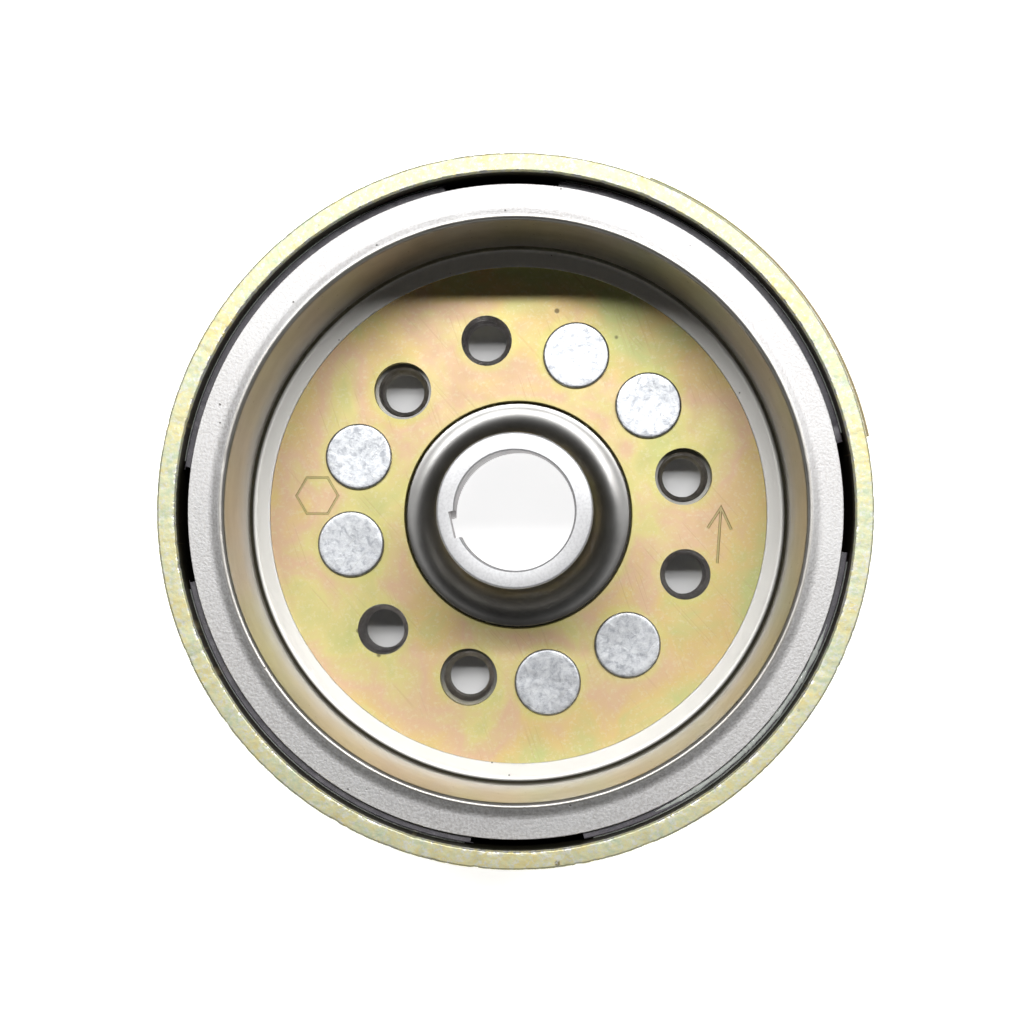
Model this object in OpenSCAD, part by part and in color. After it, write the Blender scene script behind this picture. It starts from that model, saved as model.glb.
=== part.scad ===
// Magneto flywheel rotor for a small engine.
// A plated steel cup holds four arc magnets behind a sheet-steel retainer.
// A forged hub is riveted to the cup's base and carries the crankshaft bore.
// The axis is +Z, the open side faces +Z, and z = 0 is the rear spigot face.
// All sizes are in millimetres and all angles run anticlockwise from +X.

/* [Cup] */
// Outside diameter of the cup
cup_d = 110; // [108:0.5:112]
// Thickness of the cup's side wall
cup_wall = 2.9; // [2.4:0.1:3]
// Depth from the rim to the top of the base
cup_depth = 36; // [34:0.5:42]
// Thickness of the cup's base
base_t = 3.5; // [3:0.1:4.5]
// Radius of the outside corner between base and wall
cup_corner_r = 6; // [4:0.5:8]
// Radius of the inside corner between base and wall
cup_inner_corner_r = 1.5; // [1:0.1:1.6]
// Chamfer on both edges of the rim
rim_chamfer = 0.35; // [0.1:0.05:0.5]

/* [Timing pad] */
// Middle angle of the raised timing pad
pad_angle = 40; // [0:1:359]
// Angle the pad covers
pad_span = 56; // [20:1:90]
// How far the pad stands out from the wall
pad_proud = 1.5; // [0.8:0.1:2]
// Height of the pad along the axis
pad_height = 11; // [6:0.5:14]
// Distance from the rim down to the pad
pad_drop = 7.5; // [4:0.5:10]
// Chamfer on the pad's long edges
pad_chamfer = 0.5; // [0.2:0.1:0.7]

/* [Magnets] */
// Angle of the first gap between magnets
gap_angle = 2.4; // [0:0.1:89]
// Angle covered by one magnet
magnet_span = 71.8; // [60:0.1:74]
// Radial thickness of one magnet
magnet_t = 6; // [5:0.1:6.2]
// Length of one magnet along the axis
magnet_length = 29.6; // [27:0.1:29.7]
// Distance from the rim down to the magnets
magnet_drop = 4.6; // [4.5:0.1:5.5]
// Chamfer on the magnet's outer end corners
magnet_chamfer = 1.2; // [0.4:0.1:2]
// Thickness of the adhesive behind a magnet
glue_t = 0.3; // [0.2:0.05:0.4]

/* [Magnet spacers] */
// Angle covered by each end tab of a spacer
tab_span = 4; // [3:0.1:6]
// Radial thickness of a spacer
spacer_t = 4.6; // [3:0.1:5]
// How far the middle of a spacer lies below its tabs
spacer_dip = 6; // [2:0.5:10]

/* [Magnet retainer] */
// Sheet thickness of the retainer
sheet_t = 0.6; // [0.4:0.1:0.6]
// Inside diameter of the retainer's wall
retainer_bore_d = 90.1; // [89:0.1:90.5]
// Outside diameter of the top flange
flange_d = 101.5; // [99:0.1:102.5]
// Distance from the rim down to the top flange
flange_drop = 3.6; // [3.2:0.1:3.8]
// Height of the raised crest between flange and wall
crest_rise = 0.3; // [0.2:0.1:0.6]
// Outside radius of the crest
roll_r = 0.7; // [0.7:0.1:1.2]
// Inside diameter of the bottom lip
lip_d = 83.3; // [80:0.1:86]
// Inside radius of the bend between wall and lip
lip_bend_r = 1.2; // [0.8:0.1:1.5]

/* [Hub] */
// Diameter of the boss at its turned face
boss_d = 24.2; // [23:0.1:26]
// Distance from the rim down to the turned face
boss_drop = 0.5; // [0:0.1:4]
// Radius of the hollow between boss and shoulder
boss_fillet_r = 5.8; // [4:0.1:6]
// Diameter of the shoulder that fills the cup's centre hole
shoulder_d = 37.5; // [36.5:0.1:39]
// Gap between the shoulder and the cup
shoulder_gap = 0.25; // [0.1:0.05:0.4]
// Diameter of the flange behind the base
hub_flange_d = 76; // [74:0.5:80]
// Thickness of the flange behind the base
hub_flange_t = 7.5; // [6:0.5:9]
// Diameter of the rear spigot
spigot_d = 44; // [42:0.5:46]
// Length of the rear spigot
spigot_length = 4; // [3:0.5:5]

/* [Crankshaft bore] */
// Diameter of the straight land at the turned face
land_d = 18.5; // [18:0.1:19]
// Length of the straight land
land_length = 8; // [6:0.5:12]
// Growth of the taper's diameter per millimetre of length
taper_ratio = 0.08; // [0.05:0.01:0.1]
// Width of the keyway
key_w = 4.2; // [4:0.1:5]
// Distance from the axis to the keyway's floor at the turned face
key_floor_r = 10; // [9.8:0.1:10.8]
// Angle of the keyway
key_angle = 193; // [0:1:359]

/* [Tapped holes] */
// Core diameter of the tapped holes, for an M8 thread
tap_d = 6.7; // [6.6:0.05:6.8]
// Circle diameter of the holes tapped through both parts
through_pcd = 59.5; // [58:0.1:60]
// Angle of the first hole tapped through both parts
through_angle = 100.3; // [90:0.1:110]
// Chamfer diameter of the holes tapped through both parts
through_chamfer_d = 8.5; // [8.2:0.1:9]
// Circle diameter of the holes tapped in the hub alone
hub_pcd = 57; // [56:0.1:58]
// Angle of the first hole tapped in the hub alone
hub_hole_angle = 13; // [5:0.1:20]
// Clearance hole in the cup over the holes tapped in the hub alone
clearance_d = 9.6; // [9.2:0.1:10]
// Chamfer diameter of the holes tapped in the hub alone
hub_chamfer_d = 8.5; // [8:0.1:9]
// Chamfer diameter of all tapped holes at the hub's back
tap_back_d = 7.5; // [7:0.1:7.6]

/* [Rivets] */
// Circle diameter of the rivets
rivet_pcd = 57; // [56:0.1:58]
// Diameter of a rivet head
rivet_head_d = 11.2; // [10.6:0.1:11.6]
// Height of a rivet head
rivet_head_t = 0.8; // [0.6:0.1:1.2]
// Edge radius of a rivet head
rivet_edge_r = 0.4; // [0.2:0.05:0.5]
// Diameter of a rivet shank
rivet_shank_d = 7; // [6:0.1:8]
// Diameter of the flush countersunk tail
rivet_tail_d = 9.6; // [9:0.1:10]

/* [Marks] */
// Depth of the engraved marks
mark_depth = 0.25; // [0.1:0.05:0.4]
// Width of the engraved lines
mark_line_w = 0.55; // [0.4:0.05:0.8]

/* [Hidden] */
$fn = 96;
overlap = 1;
clear = 0.05;
quarter = 90;
turn = 360;
base_bottom_z = spigot_length + hub_flange_t;
base_top_z = base_bottom_z + base_t;
rim_z = base_top_z + cup_depth;
face_z = rim_z - boss_drop;
cup_r = cup_d / 2;
cup_inner_r = cup_r - cup_wall;
centre_hole_r = shoulder_d / 2 + shoulder_gap;
magnet_outer_r = cup_inner_r - glue_t;
magnet_inner_r = magnet_outer_r - magnet_t;
magnet_top_z = rim_z - magnet_drop;
magnet_bottom_z = magnet_top_z - magnet_length;
gap_span = quarter - magnet_span;
spacer_inset = 0.25;
spacer_slack = 0.4;
glue_edge = 2;
spacer_inner_r = magnet_inner_r + spacer_inset;
// Distance from the rim down to each spacer's tabs: two of them sit deeper
spacer_drops = [9, 9, 5.6, 5.2];
retainer_r = retainer_bore_d / 2;
flange_top_z = rim_z - flange_drop;
flange_bottom_z = flange_top_z - sheet_t;
crest_top_z = flange_top_z + crest_rise;
crest_tilt = 12;
bead_r = 0.5;
bead_start = 295;
bead_span = 45;
shoulder_rise = 0.2;
edge_break = 0.5;
back_chamfer = 0.8;
boss_chamfer = 0.4;
bore_chamfer = 0.25;
taper_slope = taper_ratio / 2;
land_bottom_z = face_z - land_length;
taper_back_r = land_d / 2 + land_bottom_z * taper_slope;
holes = 3;
hole_step = turn / holes;
rivet_angles = [40, 70, 160, 190, 280, 310];
arrow_tip = [34, 1.2];
arrow_tail = [33.4, -8.2];
arrow_barbs = [[31.8, -2.3], [35.8, -2.5]];
hex_mark_at = [-33.8, 3.2];
hex_mark_d = 7;

/* [Part to draw] */
// The sub-part to draw, or all of them

// ---- shared shapes ----

// A rectangle in the radius-height plane, given by its two corners
module section(r_low, z_low, r_high, z_high) {
    translate([r_low, z_low])
        square([r_high - r_low, z_high - z_low]);
}

// A ring sector with a rectangular section
module sector(r_low, z_low, r_high, z_high, start, span) {
    rotate([0, 0, start])
        rotate_extrude(angle = span)
            section(r_low, z_low, r_high, z_high);
}

// A straight round cut between two heights
module drill(d, z_low, z_high) {
    translate([0, 0, z_low])
        cylinder(d = d, h = z_high - z_low);
}

// Places its children three times round the axis
module three_times(first_angle, radius) {
    for (i = [0 : holes - 1])
        rotate([0, 0, first_angle + i * hole_step])
            translate([radius, 0, 0])
                children();
}

// Places its children at every rivet
module at_rivets() {
    for (a = rivet_angles)
        rotate([0, 0, a])
            translate([rivet_pcd / 2, 0, 0])
                children();
}

// ---- cup ----

module cup_corner_cut() {
    difference() {
        section(cup_r - cup_corner_r, base_bottom_z - overlap,
                cup_r + overlap, base_bottom_z + cup_corner_r);
        translate([cup_r - cup_corner_r, base_bottom_z + cup_corner_r])
            circle(r = cup_corner_r);
    }
}

module cup_inner_corner() {
    difference() {
        section(cup_inner_r - cup_inner_corner_r, base_top_z,
                cup_inner_r, base_top_z + cup_inner_corner_r);
        translate([cup_inner_r - cup_inner_corner_r, base_top_z + cup_inner_corner_r])
            circle(r = cup_inner_corner_r);
    }
}

module cup_section() {
    difference() {
        polygon([
            [centre_hole_r, base_bottom_z],
            [cup_r, base_bottom_z],
            [cup_r, rim_z - rim_chamfer],
            [cup_r - rim_chamfer, rim_z],
            [cup_inner_r + rim_chamfer, rim_z],
            [cup_inner_r, rim_z - rim_chamfer],
            [cup_inner_r, base_top_z],
            [centre_hole_r, base_top_z]
        ]);
        cup_corner_cut();
    }
    cup_inner_corner();
}

// The pad's section runs into the wall and is chamfered on its outer edges
module timing_pad() {
    pad_top_z = rim_z - pad_drop;
    pad_bottom_z = pad_top_z - pad_height;
    rotate([0, 0, pad_angle - pad_span / 2])
        rotate_extrude(angle = pad_span)
            polygon([
                [cup_r - cup_wall / 2, pad_bottom_z],
                [cup_r + pad_proud - pad_chamfer, pad_bottom_z],
                [cup_r + pad_proud, pad_bottom_z + pad_chamfer],
                [cup_r + pad_proud, pad_top_z - pad_chamfer],
                [cup_r + pad_proud - pad_chamfer, pad_top_z],
                [cup_r - cup_wall / 2, pad_top_z]
            ]);
}

// One engraved line between two points on the base
module engraved_line(from, to) {
    run = [to[0] - from[0], to[1] - from[1]];
    length = sqrt(run[0] * run[0] + run[1] * run[1]);
    translate([from[0], from[1], base_top_z - mark_depth])
        rotate([0, 0, atan2(run[1], run[0])])
            translate([-mark_line_w / 2, -mark_line_w / 2, 0])
                cube([length + mark_line_w, mark_line_w, mark_depth + overlap]);
}

module rotation_arrow() {
    engraved_line(arrow_tail, arrow_tip);
    engraved_line(arrow_barbs[0], arrow_tip);
    engraved_line(arrow_barbs[1], arrow_tip);
}

// A plain hexagon outline stamped opposite the arrow
module hex_mark() {
    translate([hex_mark_at[0], hex_mark_at[1], base_top_z - mark_depth])
        linear_extrude(mark_depth + overlap)
            difference() {
                circle(d = hex_mark_d, $fn = 6);
                circle(d = hex_mark_d - 2 * mark_line_w, $fn = 6);
            }
}

module cup_through_hole() {
    drill(tap_d, base_bottom_z - overlap, base_top_z + overlap);
    chamfer_h = (through_chamfer_d - tap_d) / 2;
    translate([0, 0, base_top_z - chamfer_h])
        cylinder(d1 = tap_d, d2 = through_chamfer_d + 2 * overlap, h = chamfer_h + overlap);
}

module cup() {
    color("khaki")
        difference() {
            union() {
                rotate_extrude()
                    cup_section();
                timing_pad();
            }
            three_times(through_angle, through_pcd / 2)
                cup_through_hole();
            three_times(hub_hole_angle, hub_pcd / 2)
                drill(clearance_d, base_bottom_z - overlap, base_top_z + overlap);
            at_rivets()
                drill(rivet_shank_d + 2 * clear, base_bottom_z - overlap, base_top_z + overlap);
            rotation_arrow();
            hex_mark();
        }
}

// ---- hub ----

// The hollow round fillet between the boss and the shoulder
module boss_fillet() {
    fillet_z = base_top_z + shoulder_rise;
    difference() {
        section(boss_d / 2 - edge_break, fillet_z - edge_break,
                boss_d / 2 + boss_fillet_r, fillet_z + boss_fillet_r);
        translate([boss_d / 2 + boss_fillet_r, fillet_z + boss_fillet_r])
            circle(r = boss_fillet_r);
    }
}

module hub_section() {
    shoulder_z = base_top_z + shoulder_rise;
    polygon([
        [0, 0],
        [spigot_d / 2 - edge_break, 0],
        [spigot_d / 2, edge_break],
        [spigot_d / 2, spigot_length],
        [hub_flange_d / 2 - back_chamfer, spigot_length],
        [hub_flange_d / 2, spigot_length + back_chamfer],
        [hub_flange_d / 2, base_bottom_z - edge_break],
        [hub_flange_d / 2 - edge_break, base_bottom_z],
        [shoulder_d / 2, base_bottom_z],
        [shoulder_d / 2, shoulder_z - shoulder_rise],
        [shoulder_d / 2 - shoulder_rise, shoulder_z],
        [boss_d / 2, shoulder_z],
        [boss_d / 2, face_z - boss_chamfer],
        [boss_d / 2 - boss_chamfer, face_z],
        [0, face_z]
    ]);
    boss_fillet();
}

// The straight land, then a taper that opens towards the back, with both mouths chamfered
module bore_section() {
    polygon([
        [0, -overlap],
        [taper_back_r + edge_break + overlap, -overlap],
        [taper_back_r - edge_break * taper_slope, edge_break],
        [land_d / 2, land_bottom_z],
        [land_d / 2, face_z - bore_chamfer],
        [land_d / 2 + bore_chamfer + overlap, face_z + overlap],
        [0, face_z + overlap]
    ]);
}

// The keyway's floor follows the taper
module keyway() {
    rotate([0, 0, key_angle])
        translate([0, key_w / 2, 0])
            rotate([quarter, 0, 0])
                linear_extrude(key_w)
                    polygon([
                        [0, -overlap],
                        [key_floor_r + (land_bottom_z + overlap) * taper_slope, -overlap],
                        [key_floor_r, land_bottom_z],
                        [key_floor_r, face_z + overlap],
                        [0, face_z + overlap]
                    ]);
}

module hub_tapped_hole() {
    chamfer_h = (hub_chamfer_d - tap_d) / 2;
    drill(tap_d, spigot_length - overlap, base_bottom_z + overlap);
    translate([0, 0, base_bottom_z - chamfer_h])
        cylinder(d1 = tap_d, d2 = hub_chamfer_d + 2 * overlap, h = chamfer_h + overlap);
    hub_back_chamfer();
}

module hub_back_chamfer() {
    chamfer_h = (tap_back_d - tap_d) / 2;
    translate([0, 0, spigot_length - overlap])
        cylinder(d1 = tap_back_d + 2 * overlap, d2 = tap_d, h = chamfer_h + overlap);
}

// A straight rivet hole with a countersink for the tail at the back
module hub_rivet_hole() {
    tail_h = (rivet_tail_d - rivet_shank_d) / 2;
    drill(rivet_shank_d + 2 * clear, spigot_length - overlap, base_bottom_z + overlap);
    translate([0, 0, spigot_length - overlap])
        cylinder(d1 = rivet_tail_d + 2 * clear + 2 * overlap,
                 d2 = rivet_shank_d + 2 * clear, h = tail_h + overlap);
}

module hub() {
    color("dimgray")
        difference() {
            rotate_extrude()
                hub_section();
            rotate_extrude()
                bore_section();
            keyway();
            three_times(through_angle, through_pcd / 2) {
                drill(tap_d, spigot_length - overlap, base_bottom_z + overlap);
                hub_back_chamfer();
            }
            three_times(hub_hole_angle, hub_pcd / 2)
                hub_tapped_hole();
            at_rivets()
                hub_rivet_hole();
        }
}

// ---- magnet retainer ----

// A quarter ring for the crest and for the bend between wall and lip
module bend(centre_r, centre_z, r_low, r_high, toward_r, toward_z) {
    translate([centre_r, centre_z])
        intersection() {
            difference() {
                circle(r = r_high);
                circle(r = r_low);
            }
            translate([toward_r < 0 ? -r_high : 0, toward_z < 0 ? -r_high : 0])
                square(r_high);
        }
}

// The crest's last part and the slope, in one tilted frame, cut off level with the flange's underside
module crest_and_slope(centre_r, centre_z) {
    slope_run = 1.6 * crest_rise / sin(crest_tilt);
    intersection() {
        translate([centre_r, centre_z])
            rotate(-crest_tilt) {
                bend(0, 0, roll_r - sheet_t, roll_r, -1, 1);
                section(0, roll_r - sheet_t, slope_run, roll_r);
            }
        section(retainer_r - overlap, flange_bottom_z, flange_d / 2, rim_z);
    }
}

// The flange starts inside the slope's end, so that the two are one sheet
module top_flange(centre_r, centre_z) {
    upper = [centre_r + roll_r * sin(crest_tilt), centre_z + roll_r * cos(crest_tilt)];
    foot_r = upper[0] + (upper[1] - flange_top_z) / tan(crest_tilt);
    section(foot_r - sheet_t * tan(crest_tilt / 2) / 2, flange_bottom_z, flange_d / 2, flange_top_z);
}

module retainer_section() {
    roll_centre_r = retainer_r + roll_r;
    roll_centre_z = crest_top_z - roll_r;
    lip_bottom_z = base_top_z;
    lip_centre_z = lip_bottom_z + sheet_t + lip_bend_r;
    top_flange(roll_centre_r, roll_centre_z);
    crest_and_slope(roll_centre_r, roll_centre_z);
    bend(roll_centre_r, roll_centre_z, roll_r - sheet_t, roll_r, -1, 1);
    // wall
    section(retainer_r, lip_centre_z, retainer_r + sheet_t, roll_centre_z);
    // bottom bend and lip
    bend(retainer_r - lip_bend_r, lip_centre_z, lip_bend_r, lip_bend_r + sheet_t, 1, -1);
    section(lip_d / 2, lip_bottom_z, retainer_r - lip_bend_r, lip_bottom_z + sheet_t);
}

module magnet_retainer() {
    color("silver")
        rotate_extrude()
            retainer_section();
}

// ---- magnets ----

// A wedge that bevels a magnet's outer end corner
module end_bevel(angle) {
    rotate([0, 0, angle])
        translate([magnet_outer_r, 0, magnet_bottom_z - overlap])
            rotate([0, 0, quarter / 2])
                translate([-magnet_chamfer / sqrt(2), -magnet_chamfer / sqrt(2), 0])
                    cube([magnet_chamfer * sqrt(2), magnet_chamfer * sqrt(2),
                          magnet_length + 2 * overlap]);
}

module magnet(i) {
    start = gap_angle + gap_span / 2 + (i - 1) * quarter;
    color("slategray")
        difference() {
            sector(magnet_inner_r, magnet_bottom_z, magnet_outer_r, magnet_top_z,
                   start, magnet_span);
            end_bevel(start);
            end_bevel(start + magnet_span);
        }
}

// The adhesive is a little shorter and narrower than its magnet
module glue_layer(i) {
    start = gap_angle + gap_span / 2 + (i - 1) * quarter;
    color("darkseagreen")
        sector(magnet_outer_r, magnet_bottom_z + glue_edge, cup_inner_r, magnet_top_z - glue_edge / 2,
               start + glue_edge, magnet_span - 2 * glue_edge);
}

// A moulded spacer fills the gap before its magnet: two tabs and a low middle
module magnet_spacer(i) {
    top_z = rim_z - spacer_drops[i - 1];
    middle_z = top_z - spacer_dip;
    middle = gap_angle + (i - 1) * quarter;
    half = gap_span / 2 - spacer_slack;
    color("saddlebrown")
        union() {
            sector(spacer_inner_r, magnet_bottom_z, spacer_inner_r + spacer_t, middle_z,
                   middle - half, 2 * half);
            sector(spacer_inner_r, middle_z - overlap, spacer_inner_r + spacer_t, top_z,
                   middle - half, tab_span);
            sector(spacer_inner_r, middle_z - overlap, spacer_inner_r + spacer_t, top_z,
                   middle + half - tab_span, tab_span);
        }
}

// Adhesive squeezed up between the retainer's flange and the wall
module adhesive_bead() {
    bead_centre_r = flange_d / 2 + bead_r;
    color("lightgray")
        rotate([0, 0, bead_start])
            rotate_extrude(angle = bead_span)
                union() {
                    translate([bead_centre_r, magnet_top_z + bead_r])
                        circle(r = bead_r);
                    section(bead_centre_r - bead_r, magnet_top_z,
                            bead_centre_r + bead_r, magnet_top_z + bead_r);
                }
}

// ---- rivets ----

module rivet_section() {
    head_z = base_top_z + rivet_head_t;
    head_r = rivet_head_d / 2;
    tail_h = (rivet_tail_d - rivet_shank_d) / 2;
    polygon([
        [0, spigot_length],
        [rivet_tail_d / 2, spigot_length],
        [rivet_shank_d / 2, spigot_length + tail_h],
        [rivet_shank_d / 2, base_top_z],
        [head_r, base_top_z],
        [head_r, head_z - rivet_edge_r],
        [head_r - rivet_edge_r, head_z - rivet_edge_r],
        [head_r - rivet_edge_r, head_z],
        [0, head_z]
    ]);
    translate([head_r - rivet_edge_r, head_z - rivet_edge_r])
        circle(r = rivet_edge_r);
}

module rivet(i) {
    color("gainsboro")
        rotate([0, 0, rivet_angles[i - 1]])
            translate([rivet_pcd / 2, 0, 0])
                rotate_extrude()
                    rivet_section();
}

// ---- drawing ----

cup();
hub();
magnet_retainer();
magnet(1);  // magnet_1
magnet(2);  // magnet_2
magnet(3);  // magnet_3
magnet(4);  // magnet_4
glue_layer(1);  // glue_layer_1
glue_layer(2);  // glue_layer_2
glue_layer(3);  // glue_layer_3
glue_layer(4);  // glue_layer_4
magnet_spacer(1);  // magnet_spacer_1
magnet_spacer(2);  // magnet_spacer_2
magnet_spacer(3);  // magnet_spacer_3
magnet_spacer(4);  // magnet_spacer_4
adhesive_bead();
rivet(1);  // rivet_1
rivet(2);  // rivet_2
rivet(3);  // rivet_3
rivet(4);  // rivet_4
rivet(5);  // rivet_5
rivet(6);  // rivet_6
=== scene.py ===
"""Looks of a magneto flywheel rotor: fine meshes, finishes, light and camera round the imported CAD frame."""

import math

import bmesh
import bpy
from mathutils import Matrix, Vector, noise


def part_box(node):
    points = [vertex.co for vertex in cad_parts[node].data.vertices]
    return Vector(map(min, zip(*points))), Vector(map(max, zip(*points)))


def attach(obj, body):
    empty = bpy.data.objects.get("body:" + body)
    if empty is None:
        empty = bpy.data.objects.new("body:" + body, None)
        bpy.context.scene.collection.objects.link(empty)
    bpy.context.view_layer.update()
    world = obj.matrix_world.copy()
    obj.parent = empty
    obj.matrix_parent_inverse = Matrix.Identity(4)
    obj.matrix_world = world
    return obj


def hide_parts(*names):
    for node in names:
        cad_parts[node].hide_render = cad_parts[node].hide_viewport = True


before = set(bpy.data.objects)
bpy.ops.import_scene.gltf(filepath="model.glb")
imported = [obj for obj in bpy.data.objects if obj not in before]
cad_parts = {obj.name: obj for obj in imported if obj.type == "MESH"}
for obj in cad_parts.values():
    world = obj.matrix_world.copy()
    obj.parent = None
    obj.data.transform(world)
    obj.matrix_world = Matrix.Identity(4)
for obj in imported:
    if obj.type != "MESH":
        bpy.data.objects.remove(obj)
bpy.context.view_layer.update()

# ---- sizes, in metres, from the frame where it has them ----

MM = 0.001
TURN = 2 * math.pi

CUP_LOW, CUP_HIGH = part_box("cup")
HUB_LOW, HUB_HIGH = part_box("hub")
RETAINER_LOW, RETAINER_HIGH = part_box("magnet_retainer")
MAGNET_LOW, MAGNET_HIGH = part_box("magnet_1")

RIM_Z = CUP_HIGH.z
BASE_BOTTOM_Z = CUP_LOW.z
BASE_TOP_Z = RETAINER_LOW.z
FACE_Z = HUB_HIGH.z
CUP_R = -CUP_LOW.x
CUP_INNER_R = CUP_R - 2.9 * MM
CUP_CORNER_R = 6 * MM
CUP_INNER_CORNER_R = 1.5 * MM
RIM_EDGE = 0.35 * MM
PAD_START, PAD_SPAN = math.radians(12), math.radians(56)
PAD_R = CUP_R + 1.5 * MM
PAD_ROOT_R = CUP_R - 1.3 * MM
PAD_EDGE = 0.5 * MM
PAD_HIGH_Z = RIM_Z - 7.5 * MM
PAD_LOW_Z = PAD_HIGH_Z - 11 * MM

HUB_FLANGE_R = HUB_HIGH.x
HUB_BACK_Z = 4 * MM
HUB_EDGE = 0.4 * MM
HUB_FLANGE_EDGE = 0.8 * MM
SHOULDER_EDGE = 0.2 * MM
SPIGOT_R = 22 * MM
SHOULDER_R = 18.75 * MM
SHOULDER_Z = BASE_TOP_Z + 0.2 * MM
BOSS_R = 12.1 * MM
BOSS_FILLET_R = 5.8 * MM
CENTRE_HOLE_R = SHOULDER_R + 0.25 * MM
BORE_CHAMFER = 0.25 * MM
LAND_R = 9.25 * MM
LAND_LOW_Z = FACE_Z - 8 * MM
TAPER_SLOPE = 0.04
BORE_BACK_R = LAND_R + LAND_LOW_Z * TAPER_SLOPE
KEY_WIDTH = 4.2 * MM
KEY_FLOOR_R = 10 * MM
KEY_ANGLE = math.radians(193)
KEY_START_R = 6 * MM

TAP_CREST_R = 3.35 * MM
TAP_ROOT_R = 3.95 * MM
TAP_PITCH = 1.25 * MM
TAP_CHAMFER_R = 4.25 * MM
TAP_BACK_CHAMFER_R = 4.1 * MM
CLEARANCE_R = 4.8 * MM
THROUGH_CIRCLE_R = 29.75 * MM
THROUGH_ANGLES = [math.radians(100.3 + 120 * i) for i in range(3)]
HUB_CIRCLE_R = 28.5 * MM
HUB_HOLE_ANGLES = [math.radians(13 + 120 * i) for i in range(3)]

RIVET_CIRCLE_R = 28.5 * MM
RIVET_ANGLES = [math.radians(a) for a in (40, 70, 160, 190, 280, 310)]
RIVET_HEAD_R = 5.6 * MM
RIVET_HEAD_T = 0.8 * MM
RIVET_HEAD_EDGE = 0.4 * MM
RIVET_SHANK_R = 3.5 * MM
RIVET_TAIL_R = 4.8 * MM
RIVET_STEPS = 96

SHEET_T = 0.6 * MM
RETAINER_R = 45.05 * MM
FLANGE_R = RETAINER_HIGH.x
CREST_Z = RETAINER_HIGH.z
FLANGE_TOP_Z = CREST_Z - 0.3 * MM
FOLD_REACH = 0.5 * MM
SHEET_EDGE = 0.12 * MM
ROLL_R = 0.7 * MM
CREST_TILT = math.radians(12)
LIP_R = 41.65 * MM
LIP_BEND_R = 1.2 * MM

MAGNET_OUTER_R = CUP_INNER_R - 0.3 * MM
MAGNET_INNER_R = MAGNET_OUTER_R - 6 * MM
MAGNET_TOP_Z = MAGNET_HIGH.z
MAGNET_BOTTOM_Z = MAGNET_LOW.z
FIRST_GAP = math.radians(2.4)
MAGNET_SPAN = math.radians(71.8)
GAP_SPAN = TURN / 4 - MAGNET_SPAN
MAGNET_EDGE = 0.15 * MM
END_BEVEL = 1.2 * MM
END_PULL = 1.1 * MM
SPACER_INNER_R = MAGNET_INNER_R + 0.25 * MM
SPACER_OUTER_R = SPACER_INNER_R + 4.6 * MM
SPACER_TAB = math.radians(4)
SPACER_SLACK = math.radians(0.4)
SPACER_DIP = 6 * MM
SPACER_EDGE = 0.2 * MM

BEAD_START, BEAD_SPAN = math.radians(295), math.radians(45)
BEAD_R = 0.5 * MM
BEAD_STEPS, BEAD_SIDES = 220, 12

MARK_DEPTH = 0.2 * MM
MARK_WIDE, MARK_NARROW = 0.644 * MM, 0.276 * MM
ARROW_AT = (33.7 * MM, -3.5 * MM)
ARROW_TURN = math.radians(-4)
ARROW_LENGTH = 9.4 * MM
ARROW_BARB = (2.0 * MM, 3.6 * MM)
HEX_AT = (-33.8 * MM, 3.2 * MM)
HEX_R = 3.5 * MM

FLOOR_SIZE = 4.0
FLOOR_GAP = 0.05 * MM
FLOOR_GLOW = 0.85
SOFTBOX_SIZE = (1.07, 0.05)
SOFTBOX_AIM = (0.12, 0, 0.02)
KEY_PLACE, KEY_POWER = (0.12, 0.345, 1.15), 7.6
FLOOR_KEY_PLACE, FLOOR_KEY_POWER = (0.12, 0.25, 1.15), 15.0
STUDIO_GREYS = [(0.0, 0.75), (0.20, 0.55), (0.42, 0.06), (0.70, 0.03)]
CAMERA_PLACE = (6.2 * MM, -7.4 * MM, RIM_Z + 370 * MM)
CAMERA_AIM = (-0.4 * MM, -0.25 * MM, RIM_Z)
CAMERA_LENS, CAMERA_SENSOR = 85, 36

ROUND_STEPS = 360
HOLE_STEPS = 64
THREAD_STEPS = 28
OVERLAP = 1 * MM

# ---- mesh helpers ----


def arc(centre, radius, start, end, steps):
    """Points along an arc in the radius-height plane, angles in degrees."""
    return [
        (
            centre[0] + radius * math.cos(math.radians(start + (end - start) * i / steps)),
            centre[1] + radius * math.sin(math.radians(start + (end - start) * i / steps)),
        )
        for i in range(steps + 1)
    ]


def link(name, bm):
    """Turns a bmesh into an object with outward normals."""
    bmesh.ops.recalc_face_normals(bm, faces=bm.faces)
    mesh = bpy.data.meshes.new(name)
    bm.to_mesh(mesh)
    bm.free()
    obj = bpy.data.objects.new(name, mesh)
    bpy.context.scene.collection.objects.link(obj)
    return obj


def add_turned(bm, outline, start=0.0, span=TURN, steps=ROUND_STEPS):
    """Adds a closed outline turned round the axis, with end faces where the span isn't a full turn."""
    full = span >= TURN - 1e-9
    count = steps if full else steps + 1
    rings = []
    for s in range(count):
        a = start + span * s / steps
        rings.append([bm.verts.new((r * math.cos(a), r * math.sin(a), z)) for r, z in outline])
    if not full:
        join_rings(bm, rings)
        return
    for s in range(steps):
        here, there = rings[s], rings[(s + 1) % count]
        for i in range(len(outline)):
            j = (i + 1) % len(outline)
            bm.faces.new((here[i], there[i], there[j], here[j]))


def join_rings(bm, rings):
    """Skins a run of rings and closes its two ends."""
    for here, there in zip(rings, rings[1:]):
        for i in range(len(here)):
            j = (i + 1) % len(here)
            bm.faces.new((here[i], there[i], there[j], here[j]))
    bm.faces.new(rings[0])
    bm.faces.new(list(reversed(rings[-1])))


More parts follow.
